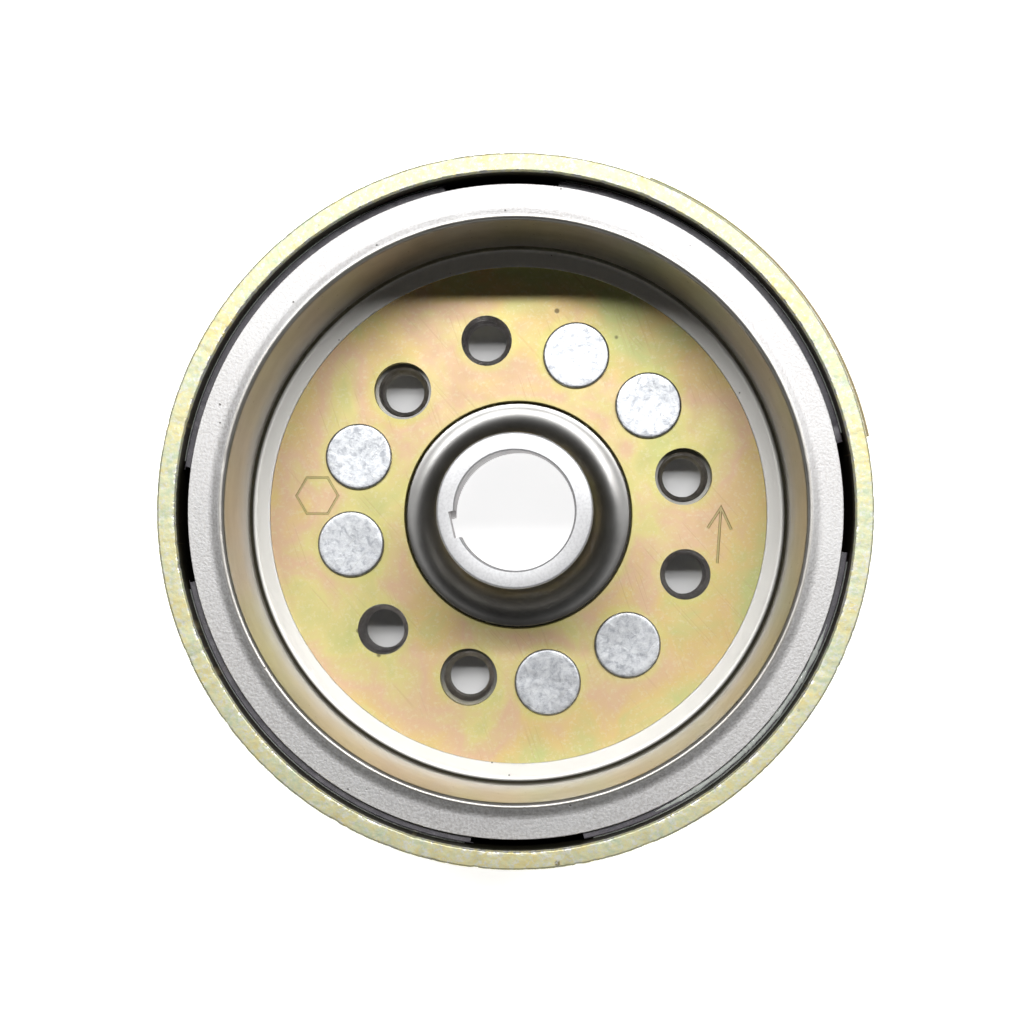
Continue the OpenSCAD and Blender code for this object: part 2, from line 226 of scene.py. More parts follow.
def add_solid_of_revolution(bm, side, steps, move):
    """Adds a closed solid whose side outline runs from one axis point to the other."""
    low = bm.verts.new(move @ Vector((0, 0, side[0][1])))
    high = bm.verts.new(move @ Vector((0, 0, side[-1][1])))
    rings = []
    for s in range(steps):
        a = TURN * s / steps
        rings.append([bm.verts.new(move @ Vector((r * math.cos(a), r * math.sin(a), z))) for r, z in side])
    for s in range(steps):
        here, there = rings[s], rings[(s + 1) % steps]
        bm.faces.new((low, there[0], here[0]))
        bm.faces.new((high, here[-1], there[-1]))
        for i in range(len(side) - 1):
            bm.faces.new((here[i], there[i], there[i + 1], here[i + 1]))


def at_angle(angle, radius):
    """The place of a small feature on a circle round the axis, turned with it."""
    return Matrix.Rotation(angle, 4, "Z") @ Matrix.Translation((radius, 0, 0))


def cut(obj, cutter):
    """Takes one solid out of another for good."""
    boolean(obj, cutter, "DIFFERENCE")


def boolean(obj, other, operation):
    """Applies an exact boolean and removes the other solid."""
    modifier = obj.modifiers.new("boolean", "BOOLEAN")
    modifier.operation = operation
    modifier.solver = "EXACT"
    modifier.object = other
    apply_modifiers(obj)
    bpy.data.objects.remove(other)


def apply_modifiers(obj):
    """Replaces the object's mesh by what its modifiers make of it."""
    depsgraph = bpy.context.evaluated_depsgraph_get()
    mesh = bpy.data.meshes.new_from_object(obj.evaluated_get(depsgraph))
    obj.modifiers.clear()
    obj.data = mesh


def smooth(obj, angle=32):
    """Smooth shading that stays flat on flat faces and sharp at hard edges."""
    obj.data.polygons.foreach_set("use_smooth", [True] * len(obj.data.polygons))
    obj.data.set_sharp_from_angle(angle=math.radians(angle))
    weighted = obj.modifiers.new("weighted_normals", "WEIGHTED_NORMAL")
    weighted.keep_sharp = True
    apply_modifiers(obj)


def finish_piece(obj, materials, nodes):
    """Gives a piece its materials and its body, and hides the CAD nodes it stands for."""
    obj.data.materials.clear()
    for material in materials:
        obj.data.materials.append(material)
    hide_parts(*nodes)
    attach(obj, "root")


def paint_faces(obj, index, test):
    """Gives a material index to every face whose centre passes the test."""
    for face in obj.data.polygons:
        if test(face.center):
            face.material_index = index


def radius_of(point):
    return math.hypot(point[0], point[1])


# ---- material helpers ----


class Finish:
    """A short way to write a procedural material."""

    def __init__(self, name, **constants):
        self.material = bpy.data.materials.new(name)
        self.material.use_nodes = True
        self.nodes = self.material.node_tree.nodes
        self.links = self.material.node_tree.links
        self.nodes.clear()
        self.shader = self.nodes.new("ShaderNodeBsdfPrincipled")
        output = self.nodes.new("ShaderNodeOutputMaterial")
        self.links.new(self.shader.outputs["BSDF"], output.inputs["Surface"])
        for key, value in constants.items():
            self.shader.inputs[key.replace("_", " ")].default_value = value
        self.place = self.nodes.new("ShaderNodeTexCoord").outputs["Object"]

    def put(self, socket, value):
        """Sets a socket from another socket, a number, a vector or a colour."""
        if isinstance(value, bpy.types.NodeSocket):
            self.links.new(value, socket)
        elif isinstance(value, tuple) and len(value) == 3 and socket.type == "RGBA":
            socket.default_value = (*value, 1)
        else:
            socket.default_value = value

    def set(self, **values):
        """Feeds the shader's sockets."""
        for key, value in values.items():
            self.put(self.shader.inputs[key.replace("_", " ")], value)
        return self

    def math(self, operation, a, b=0.0, clamp=False):
        node = self.nodes.new("ShaderNodeMath")
        node.operation = operation
        node.use_clamp = clamp
        self.put(node.inputs[0], a)
        self.put(node.inputs[1], b)
        return node.outputs[0]

    def band(self, value, low, high, soft):
        """1 between two values and 0 outside, with soft ends."""
        up = self.fade(value, low - soft, low + soft)
        down = self.fade(value, high + soft, high - soft)
        return self.math("MULTIPLY", up, down)

    def fade(self, value, zero_at, one_at):
        """Runs smoothly from 0 to 1 between two values."""
        node = self.nodes.new("ShaderNodeMapRange")
        node.interpolation_type = "SMOOTHSTEP"
        self.put(node.inputs["Value"], value)
        if zero_at < one_at:
            limits = (zero_at, one_at, 0.0, 1.0)
        else:
            limits = (one_at, zero_at, 1.0, 0.0)
        for key, limit in zip(("From Min", "From Max", "To Min", "To Max"), limits):
            node.inputs[key].default_value = limit
        return node.outputs["Result"]

    def noise(self, per_metre, detail=3.0, roughness=0.5, place=None, distortion=0.0):
        """Cloud noise with about that many features in a metre."""
        node = self.nodes.new("ShaderNodeTexNoise")
        self.put(node.inputs["Vector"], place or self.place)
        node.inputs["Scale"].default_value = per_metre
        node.inputs["Detail"].default_value = detail
        node.inputs["Roughness"].default_value = roughness
        node.inputs["Distortion"].default_value = distortion
        return node.outputs["Fac"]

    def stretched(self, angle, along, across, offset=0.0):
        """Coordinates stretched along one direction in the plan, for scratches."""
        node = self.nodes.new("ShaderNodeMapping")
        node.vector_type = "TEXTURE"
        self.put(node.inputs["Vector"], self.place)
        node.inputs["Location"].default_value = (offset, offset, offset)
        node.inputs["Rotation"].default_value = (0, 0, angle)
        node.inputs["Scale"].default_value = (1 / along, 1 / across, 1 / across)
        return node.outputs["Vector"]

    def scratches(self, angle, offset):
        """Thin straight marks in one direction."""
        place = self.stretched(angle, 40.0, 2600.0, offset)
        lines = self.noise(1.0, 1.0, 0.4, place)
        patches = self.noise(90.0, 1.0, 0.5, self.stretched(angle, 1.0, 1.0, offset))
        thin = self.fade(lines, 0.62, 0.67)
        return self.math("MULTIPLY", thin, self.fade(patches, 0.5, 0.62))

    def spots(self, per_metre, size, share):
        """Small round pits, on a share of the cells."""
        node = self.nodes.new("ShaderNodeTexVoronoi")
        self.put(node.inputs["Vector"], self.place)
        node.inputs["Scale"].default_value = per_metre
        near = self.fade(node.outputs["Distance"], size, size * 0.5)
        pick = self.nodes.new("ShaderNodeSeparateColor")
        self.put(pick.inputs["Color"], node.outputs["Color"])
        chosen = self.fade(pick.outputs[0], 1 - share, 1 - share + 0.01)
        return self.math("MULTIPLY", near, chosen)

    def ramp(self, value, stops):
        """Colours along a value."""
        node = self.nodes.new("ShaderNodeValToRGB")
        self.put(node.inputs["Fac"], value)
        elements = node.color_ramp.elements
        while len(elements) < len(stops):
            elements.new(0.5)
        for element, (position, colour) in zip(elements, stops):
            element.position = position
            element.color = (*colour, 1)
        return node.outputs["Color"]

    def mix(self, share, a, b):
        """Mixes two colours."""
        node = self.nodes.new("ShaderNodeMix")
        node.data_type = "RGBA"
        self.put(node.inputs["Factor"], share)
        self.put(node.inputs[6], a)
        self.put(node.inputs[7], b)
        return node.outputs[2]

    def blend_value(self, share, a, b):
        """Mixes two numbers."""
        node = self.nodes.new("ShaderNodeMix")
        self.put(node.inputs[0], share)
        self.put(node.inputs[2], a)
        self.put(node.inputs[3], b)
        return node.outputs[0]

    def part(self, axis):
        """One coordinate of the place."""
        node = self.nodes.new("ShaderNodeSeparateXYZ")
        self.put(node.inputs[0], self.place)
        return node.outputs[axis]

    def radius(self):
        """Distance from the wheel's axis."""
        flat = self.nodes.new("ShaderNodeVectorMath")
        flat.operation = "MULTIPLY"
        self.put(flat.inputs[0], self.place)
        flat.inputs[1].default_value = (1, 1, 0)
        length = self.nodes.new("ShaderNodeVectorMath")
        length.operation = "LENGTH"
        self.links.new(flat.outputs[0], length.inputs[0])
        return length.outputs["Value"]

    def bump(self, height, distance, strength=1.0, under=None):
        """A bump of that height in metres, over another where given."""
        node = self.nodes.new("ShaderNodeBump")
        node.inputs["Strength"].default_value = strength
        node.inputs["Distance"].default_value = distance
        self.put(node.inputs["Height"], height)
        if under is not None:
            self.links.new(under, node.inputs["Normal"])
        return node.outputs["Normal"]


# ---- materials ----


def edge_distance(f, r):
    """Distance on the base's top from the nearest hole, rivet or hub edge."""
    places = [(a, THROUGH_CIRCLE_R, TAP_CHAMFER_R) for a in THROUGH_ANGLES]
    places += [(a, HUB_CIRCLE_R, CLEARANCE_R) for a in HUB_HOLE_ANGLES]
    places += [(a, RIVET_CIRCLE_R, RIVET_HEAD_R) for a in RIVET_ANGLES]
    nearest = f.math("SUBTRACT", r, SHOULDER_R)
    for angle, circle_r, edge_r in places:
        node = f.nodes.new("ShaderNodeVectorMath")
        node.operation = "DISTANCE"
        f.put(node.inputs[0], f.place)
        middle = at_angle(angle, circle_r) @ Vector((0, 0, BASE_TOP_Z))
        node.inputs[1].default_value = middle
        nearest = f.math("MINIMUM", nearest, f.math("SUBTRACT", node.outputs["Value"], edge_r))
    return nearest


def plated_tones(f, r):
    """Mottled straw, pink and green, greener beside the holes, the rivets and the hub."""
    clouds = f.noise(30.0, 3.0, 0.5, distortion=0.8)
    patches = f.noise(95.0, 4.0, 0.6, distortion=0.5)
    tone = f.blend_value(0.32, clouds, patches)
    tone = f.math("ADD", tone, f.math("MULTIPLY", f.fade(r, 36 * MM, 43 * MM), 0.07))
    colour = f.ramp(
        tone,
        [
            (0.34, (0.66, 0.68, 0.29)),
            (0.43, (0.84, 0.74, 0.34)),
            (0.50, (0.86, 0.61, 0.40)),
            (0.57, (0.86, 0.67, 0.31)),
            (0.66, (0.70, 0.71, 0.32)),
        ],
    )
    halo = f.fade(edge_distance(f, r), 1.9 * MM, 0.2 * MM)
    halo = f.math("MULTIPLY", halo, f.fade(patches, 0.30, 0.55))
    return f.mix(f.math("MULTIPLY", halo, 0.6), colour, (0.79, 0.76, 0.28))


def rim_tones(f):
    """Paler plating of the rim, mottled green and straw."""
    tone = f.blend_value(0.5, f.noise(120.0, 3.0, 0.6), f.noise(900.0, 3.0, 0.6))
    stops = [(0.38, (0.74, 0.83, 0.60)), (0.50, (0.93, 0.91, 0.58)), (0.62, (0.96, 0.85, 0.42))]
    return f.ramp(tone, stops)


def paint_plating_shade(f, r, z, colour):
    """Painted shade: darker colour in the engraved marks, near black on the inner wall behind the magnets and
    darker on the cup's outer wall.
    """
    # Painted shade: the engraved marks are darkened as if shaded in their grooves.
    painted_mark_shade = f.fade(z, BASE_TOP_Z - 0.01 * MM, BASE_TOP_Z - 0.08 * MM)
    colour = f.mix(f.math("MULTIPLY", painted_mark_shade, 0.7), colour, (0.50, 0.46, 0.22))
    # Painted shade: the cup's inner wall behind the magnets is painted near black, for the shadow in the gap
    # between the flange and the rim.
    on_wall = f.fade(r, CUP_INNER_R + 0.15 * MM, CUP_INNER_R + 0.05 * MM)
    painted_gap_shade = f.math("MULTIPLY", on_wall, f.fade(z, RIM_Z - 0.4 * MM, RIM_Z - 1.0 * MM))
    painted_gap_shade = f.math("MULTIPLY", painted_gap_shade, f.fade(z, BASE_TOP_Z + 2 * MM, BASE_TOP_Z + 3 * MM))
    colour = f.mix(f.math("MULTIPLY", painted_gap_shade, 0.92), colour, (0.05, 0.05, 0.045))
    # Painted shade: the cup's outer wall and the outer edge of the rim are painted darker, for the shade on
    # that side.
    outside = f.fade(r, CUP_R - 0.40 * MM, CUP_R - 0.15 * MM)
    return f.mix(f.math("MULTIPLY", outside, 0.65), colour, (0.34, 0.34, 0.24))


def rim_wear(f, r, z):
    """Where the plating is chipped off along the rim's two edges."""
    near_rim = f.fade(z, RIM_Z - 0.9 * MM, RIM_Z - 0.1 * MM)
    inner = f.fade(r, CUP_INNER_R + 0.75 * MM, CUP_INNER_R + 0.1 * MM)
    outer = f.math("MULTIPLY", f.fade(r, CUP_R - 0.55 * MM, CUP_R - 0.1 * MM), 0.5)
    edges = f.math("MULTIPLY", near_rim, f.math("ADD", inner, outer, clamp=True))
    return f.math("MULTIPLY", edges, f.fade(f.noise(620.0, 3.0, 0.7), 0.5, 0.6))


def zinc_plating():
    """Yellow passivated zinc on steel, pitted and scratched, worn silver on the rim's edges, with painted
    shade in the engraved marks, behind the magnets and on the outer wall.
    """
    f = Finish("yellow_zinc_plating", Metallic=1.0)
    r = f.radius()
    z = f.part(2)
    on_rim = f.fade(z, RIM_Z - 2.5 * MM, RIM_Z - 0.6 * MM)
    colour = f.mix(on_rim, plated_tones(f, r), rim_tones(f))
    speckle = f.fade(f.noise(1700.0, 2.0, 0.6), 0.5, 0.75)
    colour = f.mix(f.math("MULTIPLY", speckle, 0.35), colour, (0.95, 0.88, 0.66))
    pits = f.spots(300.0, 0.16, 0.06)
    colour = f.mix(f.math("MULTIPLY", pits, 0.7), colour, (0.10, 0.08, 0.05))
    marks = f.math("ADD", f.scratches(1.9, 0.013), f.scratches(2.3, 0.047), clamp=True)
    marks = f.math("MULTIPLY", marks, f.math("SUBTRACT", 1.0, on_rim))
    colour = f.mix(f.math("MULTIPLY", marks, 0.16), colour, (0.60, 0.38, 0.20))
    scuffs = f.math("MULTIPLY", f.fade(f.noise(1500.0, 3.0, 0.7), 0.50, 0.62), on_rim)
    colour = f.mix(f.math("MULTIPLY", scuffs, 0.7), colour, (0.93, 0.94, 0.90))
    # Painted shade in the engraved marks, on the wall behind the magnets and on the cup's outer wall.
    colour = paint_plating_shade(f, r, z, colour)
    worn = rim_wear(f, r, z)
    colour = f.mix(worn, colour, (0.86, 0.86, 0.84))
    rough = f.blend_value(f.noise(260.0, 3.0, 0.6), 0.46, 0.58)
    rough = f.blend_value(on_rim, rough, f.blend_value(f.noise(1100.0, 3.0, 0.6), 0.44, 0.62))
    rough = f.blend_value(worn, rough, 0.35)
    bumps = f.bump(f.noise(2200.0, 3.0, 0.6), 0.010 * MM, 0.4)
    bumps = f.bump(f.math("MULTIPLY", f.noise(1300.0, 3.0, 0.65), on_rim), 0.05 * MM, 0.6, bumps)
    bumps = f.bump(f.math("ADD", marks, pits), -0.01 * MM, 0.4, bumps)
    bumps = f.bump(worn, -0.05 * MM, 0.5, bumps)
    return f.set(Base_Color=colour, Roughness=rough, Normal=bumps).material


def flange_tones(f, grain):
    stops = [(0.35, (0.68, 0.66, 0.65)), (0.65, (0.76, 0.75, 0.74))]
    tint = f.ramp(f.noise(60.0, 3.0, 0.5), stops)
    return f.mix(f.fade(grain, 0.3, 0.7), tint, (0.88, 0.87, 0.87))


def retainer_sheet():
    """Grained matt flange, satin crest and wall, painted shade in the crease at the wall's foot, and a
    near-white lip that is partly painted highlight.
    """
    f = Finish("retainer_sheet_steel", Metallic=1.0)
    r = f.radius()
    z = f.part(2)
    lip_z = BASE_TOP_Z + SHEET_T
    flange = f.fade(r, RETAINER_R + 0.7 * MM, RETAINER_R + 1.1 * MM)
    lip = f.fade(z, lip_z + 0.35 * MM, lip_z + 0.15 * MM)
    # Painted shade: a near-black band in the crease where the wall's bottom bend meets the lip.
    painted_fold_shade = f.band(z, lip_z + 0.22 * MM, lip_z + 0.85 * MM, 0.12 * MM)
    grain = f.noise(2600.0, 2.0, 0.55)
    fine = f.noise(7000.0, 1.0, 0.5)
    smears = f.noise(1.0, 3.0, 0.55, f.stretched(0.0, 120.0, 120.0))
    wall_tint = f.ramp(smears, [(0.35, (0.55, 0.53, 0.49)), (0.65, (0.66, 0.64, 0.60))])
    colour = f.mix(flange, wall_tint, flange_tones(f, grain))
    # The lip is painted near white, brighter than the flange and wall of the same sheet: partly the bare
    # sheet's pale finish, partly painted highlight for the light the flat lip catches.
    colour = f.mix(lip, colour, (1.0, 0.985, 0.94))
    colour = f.mix(f.math("MULTIPLY", painted_fold_shade, 0.9), colour, (0.09, 0.085, 0.05))
    worn = f.fade(f.noise(900.0, 3.0, 0.7), 0.5, 0.58)
    worn = f.math("MULTIPLY", f.fade(r, LIP_R + 0.5 * MM, LIP_R + 0.1 * MM), worn)
    worn = f.math("MULTIPLY", worn, lip)
    colour = f.mix(worn, colour, (0.95, 0.95, 0.96))
    specks = f.spots(700.0, 0.16, 0.09)
    colour = f.mix(f.math("MULTIPLY", specks, 0.75), colour, (0.08, 0.07, 0.06))
    wall_rough = f.blend_value(smears, 0.33, 0.42)
    rough = f.blend_value(flange, wall_rough, f.blend_value(grain, 0.42, 0.56))
    rough = f.blend_value(lip, rough, 0.50)
    height = f.math("MULTIPLY", f.math("ADD", grain, f.math("MULTIPLY", fine, 0.5)), flange)
    bumps = f.bump(height, 0.05 * MM, 0.5)
    bumps = f.bump(smears, 0.01 * MM, 0.3, bumps)
    bumps = f.bump(f.math("ADD", specks, worn), -0.04 * MM, 0.5, bumps)
    return f.set(Base_Color=colour, Roughness=rough, Normal=bumps).material


def forged_steel():
    """Dark polished forging with faint turning marks."""
    f = Finish("forged_hub_steel", Metallic=1.0)
    mottle = f.noise(160.0, 3.0, 0.5)
    colour = f.ramp(mottle, [(0.32, (0.34, 0.335, 0.325)), (0.68, (0.43, 0.425, 0.415))])
    rings = f.noise(1.0, 2.0, 0.6, ring_place(f, 3500.0))
    rough = f.blend_value(f.noise(500.0, 3.0, 0.5), 0.28, 0.34)
    bumps = f.bump(rings, 0.003 * MM, 0.25)
    bumps = f.bump(f.noise(1500.0, 3.0, 0.6), 0.004 * MM, 0.3, bumps)
    return f.set(Base_Color=colour, Roughness=rough, Normal=bumps).material


def ring_place(f, per_metre):
    """A coordinate that changes only with radius and height, for marks of a lathe."""
    node = f.nodes.new("ShaderNodeCombineXYZ")
    f.put(node.inputs[0], f.math("MULTIPLY", f.radius(), per_metre))
    f.put(node.inputs[2], f.math("MULTIPLY", f.part(2), per_metre))
    return node.outputs[0]


def turned_steel():
    """Bright face cut on a lathe: fine rings that stretch the highlights."""
    f = Finish("turned_steel", Metallic=1.0, Anisotropic=0.45, Anisotropic_Rotation=0.25)
    tangent = f.nodes.new("ShaderNodeTangent")
    tangent.direction_type = "RADIAL"
    tangent.axis = "Z"
    rings = f.noise(1.0, 3.0, 0.7, ring_place(f, 5200.0))
    mottle = f.noise(2400.0, 2.0, 0.6)
    colour = f.ramp(mottle, [(0.35, (0.84, 0.84, 0.85)), (0.6, (0.94, 0.94, 0.95))])
    rough = f.blend_value(rings, 0.40, 0.55)
    bumps = f.bump(rings, 0.008 * MM, 0.35)
    bumps = f.bump(mottle, 0.010 * MM, 0.5, bumps)
    return f.set(Base_Color=colour, Roughness=rough, Normal=bumps, Tangent=tangent.outputs[0]).material


def bored_steel():
    """Machined grey steel of the bore, the keyway and the tapped holes."""
    f = Finish("bored_steel", Metallic=1.0)
    rings = f.noise(1.0, 2.0, 0.6, ring_place(f, 4000.0))
    colour = f.ramp(f.noise(400.0, 3.0, 0.6), [(0.35, (0.46, 0.44, 0.44)), (0.65, (0.68, 0.66, 0.66))])
    rough = f.blend_value(rings, 0.34, 0.46)
    bumps = f.bump(rings, 0.008 * MM, 0.4)
    return f.set(Base_Color=colour, Roughness=rough, Normal=bumps).material


def rivet_steel():
    """Bright rivet heads, slightly hammered, with fine marks."""
    f = Finish("rivet_steel", Metallic=1.0)
    mottle = f.noise(900.0, 4.0, 0.7, distortion=0.4)
    stops = [(0.34, (0.46, 0.48, 0.52)), (0.5, (0.72, 0.74, 0.77)), (0.66, (0.88, 0.90, 0.92))]
    colour = f.ramp(mottle, stops)
    marks = f.math("ADD", f.scratches(0.9, 0.021), f.scratches(2.6, 0.063), clamp=True)
    colour = f.mix(f.math("MULTIPLY", marks, 0.3), colour, (0.55, 0.55, 0.54))
    rough = f.blend_value(f.noise(650.0, 3.0, 0.6), 0.32, 0.50)
    sparkle = f.fade(f.noise(2600.0, 2.0, 0.6), 0.50, 0.68)
    bumps = f.bump(mottle, 0.006 * MM, 0.5)
    bumps = f.bump(sparkle, 0.010 * MM, 0.6, bumps)
    bumps = f.bump(marks, -0.015 * MM, 0.5, bumps)
    return f.set(Base_Color=colour, Roughness=rough, Normal=bumps).material


def ferrite():
    """Ground hard ferrite: dark purple-grey, finely granular."""
    f = Finish("ferrite", Specular_IOR_Level=0.9)
    clouds = f.noise(300.0, 4.0, 0.6)
    colour = f.ramp(clouds, [(0.35, (0.12, 0.112, 0.135)), (0.65, (0.21, 0.197, 0.23))])
    grain = f.noise(3000.0, 2.0, 0.6)
    colour = f.mix(f.fade(grain, 0.55, 0.75), colour, (0.30, 0.28, 0.32))
    rough = f.blend_value(grain, 0.34, 0.50)
    bumps = f.bump(grain, 0.03 * MM, 0.6)
    return f.set(Base_Color=colour, Roughness=rough, Normal=bumps).material


def spacer_plastic():
    """Dark red-brown moulded plastic."""
    f = Finish("spacer_plastic")
    clouds = f.noise(420.0, 3.0, 0.6)
    colour = f.ramp(clouds, [(0.35, (0.020, 0.015, 0.016)), (0.65, (0.060, 0.047, 0.050))])
    rough = f.blend_value(clouds, 0.45, 0.65)
    bumps = f.bump(f.noise(2000.0, 2.0, 0.6), 0.02 * MM, 0.5)
    return f.set(Base_Color=colour, Roughness=rough, Normal=bumps).material


def epoxy():
    """Cured adhesive, pale green-grey with small bubbles."""
    f = Finish("epoxy_adhesive", Coat_Weight=0.2)
    clouds = f.noise(500.0, 3.0, 0.6)
    colour = f.ramp(clouds, [(0.35, (0.68, 0.74, 0.69)), (0.65, (0.86, 0.90, 0.85))])
    bubbles = f.spots(1500.0, 0.3, 0.4)
    colour = f.mix(f.math("MULTIPLY", bubbles, 0.4), colour, (0.20, 0.21, 0.18))
    rough = f.blend_value(clouds, 0.3, 0.5)
    bumps = f.bump(bubbles, -0.04 * MM, 0.6)
    return f.set(Base_Color=colour, Roughness=rough, Normal=bumps).material


def paper():
    """Pale floor that glows like a light table away from the wheel; under the wheel it has painted shade, a
    darker colour and no glow, except a painted pool of light under the bore.
    """
    f = Finish("pale_floor", Roughness=0.9, Emission_Color=(1.0, 1.0, 1.0, 1.0))
    colour = f.ramp(f.noise(6.0, 3.0, 0.5), [(0.3, (0.84, 0.84, 0.84)), (0.7, (0.88, 0.88, 0.88))])
    r = f.radius()
    # Painted shade: the floor's colour is darker under the wheel.
    colour = f.mix(f.fade(r, CUP_R, CUP_R - 8 * MM), colour, (0.62, 0.62, 0.62))
    # The floor glows away from the wheel; under the wheel the glow is left out as painted shade, and a
    # glowing spot under the bore is a painted pool of light.
    outside = f.fade(r, CUP_R - 4 * MM, CUP_R + 6 * MM)
    painted_light_under_bore = f.fade(r, 15 * MM, 12 * MM)
    glow = f.math("MULTIPLY", f.math("ADD", outside, painted_light_under_bore, clamp=True), FLOOR_GLOW)
    return f.set(Base_Color=colour, Emission_Strength=glow).material


PLATING = zinc_plating()
SHEET = retainer_sheet()
FORGED = forged_steel()
TURNED = turned_steel()
BORED = bored_steel()
RIVET = rivet_steel()
FERRITE = ferrite()
PLASTIC = spacer_plastic()
EPOXY = epoxy()

# ---- cup ----


def cup_outline():
    """The cup's section, from the centre hole round the outside to the inside."""
    corner = (CUP_R - CUP_CORNER_R, BASE_BOTTOM_Z + CUP_CORNER_R)
    inner = (CUP_INNER_R - CUP_INNER_CORNER_R, BASE_TOP_Z + CUP_INNER_CORNER_R)
    edge = RIM_EDGE
    chamfer = 0.2 * MM
    return (
        [(CENTRE_HOLE_R, BASE_BOTTOM_Z)]
        + arc(corner, CUP_CORNER_R, -90, 0, 12)
        + arc((CUP_R - edge, RIM_Z - edge), edge, 0, 90, 4)
        + arc((CUP_INNER_R + edge, RIM_Z - edge), edge, 90, 180, 4)
        + arc(inner, CUP_INNER_CORNER_R, 0, -90, 6)
        + [(CENTRE_HOLE_R + chamfer, BASE_TOP_Z), (CENTRE_HOLE_R, BASE_TOP_Z - chamfer)]
    )


def pad_outline():
    """The timing pad's section, with round outer edges."""
    edge = PAD_EDGE
    return (
        [(PAD_ROOT_R, PAD_LOW_Z)]
        + arc((PAD_R - edge, PAD_LOW_Z + edge), edge, -90, 0, 4)
        + arc((PAD_R - edge, PAD_HIGH_Z - edge), edge, 0, 90, 4)
        + [(PAD_ROOT_R, PAD_HIGH_Z)]
    )


def tapped_side(low_z, high_z, low_chamfer_r, high_chamfer_r):
    """The side outline of a tapped hole's cutter, wide at both mouths."""
    low_h = max(low_chamfer_r - TAP_ROOT_R, 0)
    high_h = max(high_chamfer_r - TAP_ROOT_R, 0)
    return [
        (low_chamfer_r + OVERLAP, low_z - OVERLAP),
        (TAP_ROOT_R, low_z + low_h),
        (TAP_ROOT_R, high_z - high_h),
        (high_chamfer_r + OVERLAP, high_z + OVERLAP),
    ]


def straight_side(radius):
    """The side outline of a plain hole's cutter, right through the base."""
    return [(radius, BASE_BOTTOM_Z - OVERLAP), (radius, BASE_TOP_Z + OVERLAP)]


def round_cutter(sides):
    """One object of round cutters: pairs of a side outline and a place."""
    bm = bmesh.new()
    for side, move in sides:
        add_solid_of_revolution(bm, side, HOLE_STEPS, move)
    return link("cutter", bm)


def arrow_outline(line):
    """Corners of the rotation arrow in a line of this width: tip, one barb, stem, the other barb."""
    half = line / 2
    barb = Vector((ARROW_BARB[0], -ARROW_BARB[1])).normalized()
    across = Vector((-barb.y, barb.x))
    tip = Vector((0, ARROW_LENGTH / 2))
    end = tip + barb * Vector(ARROW_BARB).length
    armpit = Vector((half, tip.y - (half + across.x * half) / across.y))
    right = [end + across * half, end - across * half, armpit, Vector((half, -tip.y))]
    left = [Vector((-corner.x, corner.y)) for corner in reversed(right)]
    return [Vector((0, tip.y + half / across.y))] + right + left


def hexagon(radius):
    return [Vector((math.cos(TURN * i / 6), math.sin(TURN * i / 6))) * radius for i in range(6)]


def mark_loops(bm, move, wide, narrow):
    """A wide outline above the base's top and a narrow one as far below it."""
    high = [bm.verts.new(move @ Vector((p.x, p.y, MARK_DEPTH))) for p in wide]
    low = [bm.verts.new(move @ Vector((p.x, p.y, -MARK_DEPTH))) for p in narrow]
    return high, low


def join_loops(bm, one, other):
    """Faces between two loops of as many corners."""
    for i in range(len(one)):
        j = (i + 1) % len(one)
        bm.faces.new((one[i], one[j], other[j], other[i]))


def arrow_cutter():
    bm = bmesh.new()
    move = Matrix.Translation((*ARROW_AT, BASE_TOP_Z)) @ Matrix.Rotation(ARROW_TURN, 4, "Z")
    wide, narrow = arrow_outline(MARK_WIDE), arrow_outline(MARK_NARROW)
    high, low = mark_loops(bm, move, wide, narrow)
    join_loops(bm, high, low)
    bm.faces.new(high)
    bm.faces.new(low)
    return link("arrow_cutter", bm)


def hexagon_cutter():
    bm = bmesh.new()
    move = Matrix.Translation((*HEX_AT, BASE_TOP_Z))
    wide, narrow = MARK_WIDE / 2, MARK_NARROW / 2
    outer = mark_loops(bm, move, hexagon(HEX_R + wide), hexagon(HEX_R + narrow))
    inner = mark_loops(bm, move, hexagon(HEX_R - wide), hexagon(HEX_R - narrow))
    for outside, inside in zip(outer, inner):
        join_loops(bm, outside, inside)
    join_loops(bm, *outer)
    join_loops(bm, *inner)
    return link("hexagon_cutter", bm)


def thread_ridge(bm, centre_angle, circle_r, low_z, high_z):
    """A helical ridge with a V section on the wall of a tapped hole."""
    count = int((high_z - low_z) / TAP_PITCH * THREAD_STEPS)
    middle = at_angle(centre_angle, circle_r)
    root = TAP_ROOT_R + 0.05 * MM
    rings = []
    for s in range(count + 1):
        z = low_z + TAP_PITCH * s / THREAD_STEPS
        a = TURN * z / TAP_PITCH
        grow = min(1.0, 1.5 * s / THREAD_STEPS, 1.5 * (count - s) / THREAD_STEPS)
        crest = root - (root - TAP_CREST_R) * max(grow, 0.05)
        section = [
            (root, z - 0.56 * TAP_PITCH),
            (crest, z - 0.1 * TAP_PITCH),
            (crest, z + 0.1 * TAP_PITCH),
            (root, z + 0.44 * TAP_PITCH),
        ]
        corners = [middle @ Vector((r * math.cos(a), r * math.sin(a), h)) for r, h in section]
        rings.append([bm.verts.new(corner) for corner in corners])
    join_rings(bm, rings)


def wear_rim(obj):
    """Presses small nicks into the two edges of the rim."""
    for v in obj.data.vertices:
        if v.co.z < RIM_Z - 0.5 * MM:
            continue
        r = radius_of(v.co)
        inner = r < CUP_INNER_R + 0.5 * MM
        seed = Vector((v.co.x, v.co.y, 0.01 if inner else 0.05))
        deep = max(0.0, noise.noise(seed * 420) - 0.3) + 0.7 * max(0.0, noise.noise(seed * 1100) - 0.25)
        push = 0.3 * MM * deep
        outward = Vector((v.co.x, v.co.y, 0)).normalized()
        v.co += outward * (push if inner else -push)
        v.co.z -= 0.5 * push


